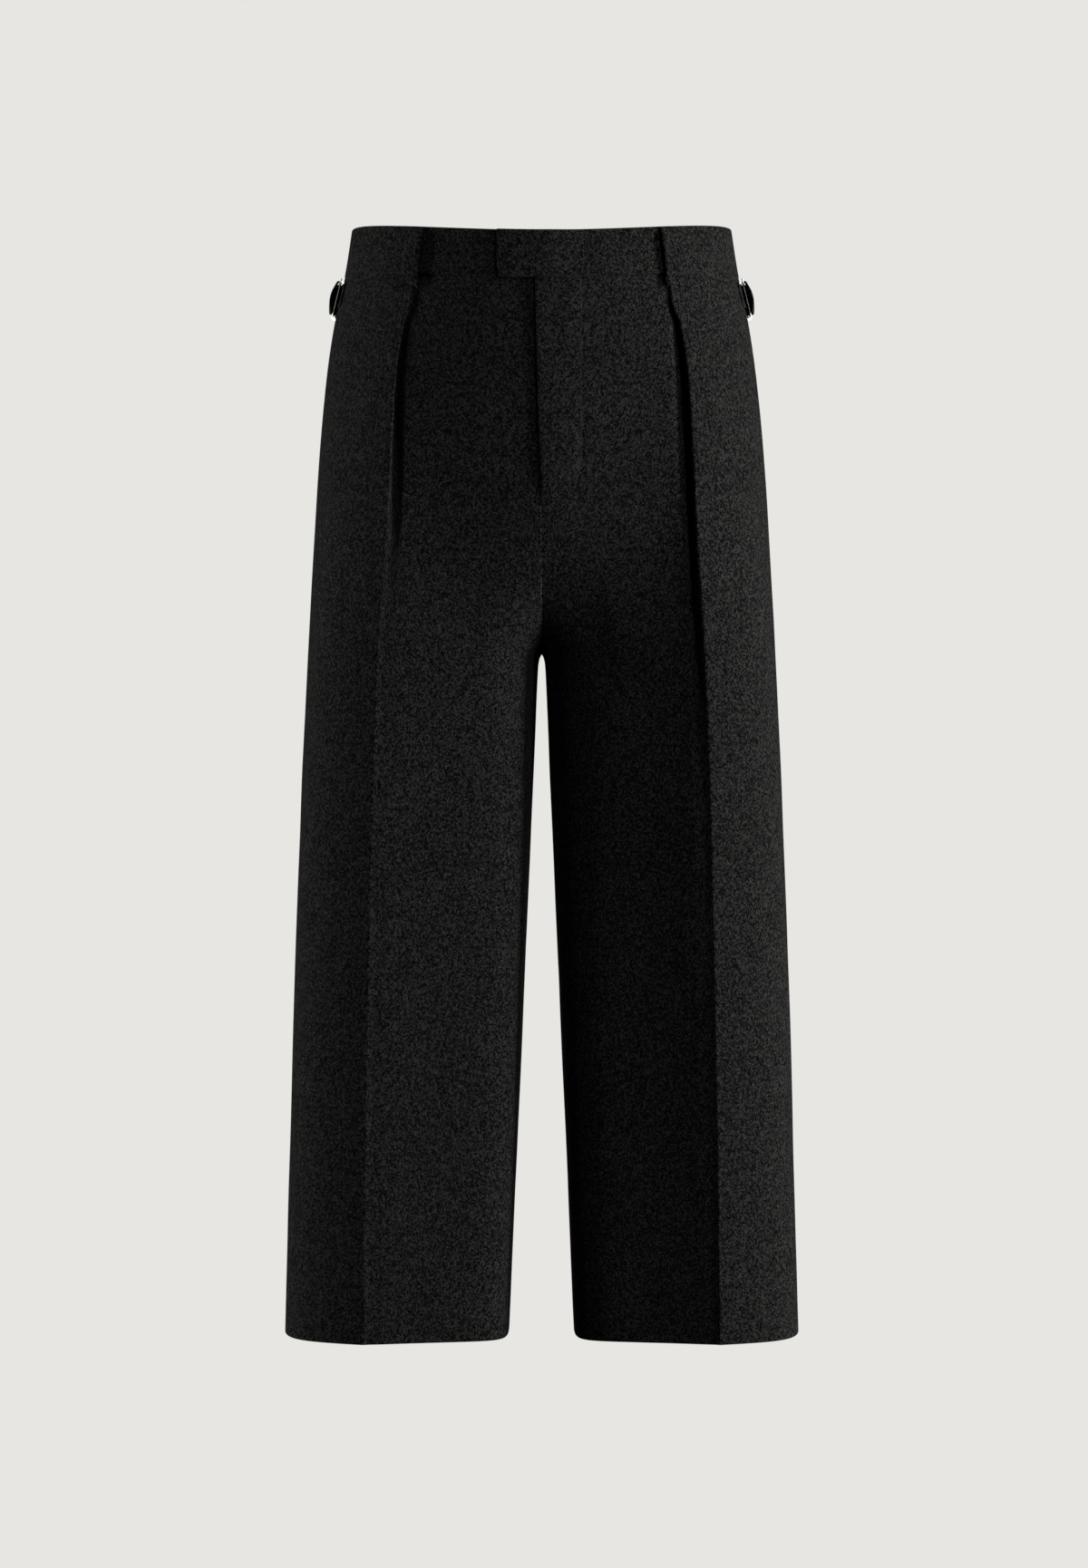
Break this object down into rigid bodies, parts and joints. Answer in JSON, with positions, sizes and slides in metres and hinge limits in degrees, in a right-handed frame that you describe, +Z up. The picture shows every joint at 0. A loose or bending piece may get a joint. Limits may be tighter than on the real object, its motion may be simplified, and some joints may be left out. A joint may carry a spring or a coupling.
{
  "type": "pleated trousers",
  "caption": "Wide-leg trousers with a forward pleat and pressed crease on each leg, a lapped waistband, belt loops and side adjusters.",
  "frame": {"origin": "centre of the waist opening, level with the waistband's top edge at centre front", "axes": "+Z up, -Y towards the wearer's front, +X towards the wearer's left"},
  "size_m": [0.4464, 0.2731, 0.961],
  "materials": {
    "wool": "matt black wool crepe",
    "buckle_metal": "polished"
  },
  "bodies": {
    "root": {"front_left": "wool", "front_right": "wool", "back_left": "wool", "back_right": "wool", "waistband_left": "wool", "waistband_right": "wool", "belt_loop_front_left": "wool", "belt_loop_front_right": "wool", "belt_loop_back_left": "wool", "belt_loop_back_right": "wool", "belt_loop_centre_back": "wool", "adjuster_strap_left": "wool", "adjuster_strap_right": "wool", "adjuster_tab_left": "wool", "adjuster_tab_right": "wool", "adjuster_buckle_left": "buckle_metal", "adjuster_buckle_right": "buckle_metal"}
  },
  "joints": []
}
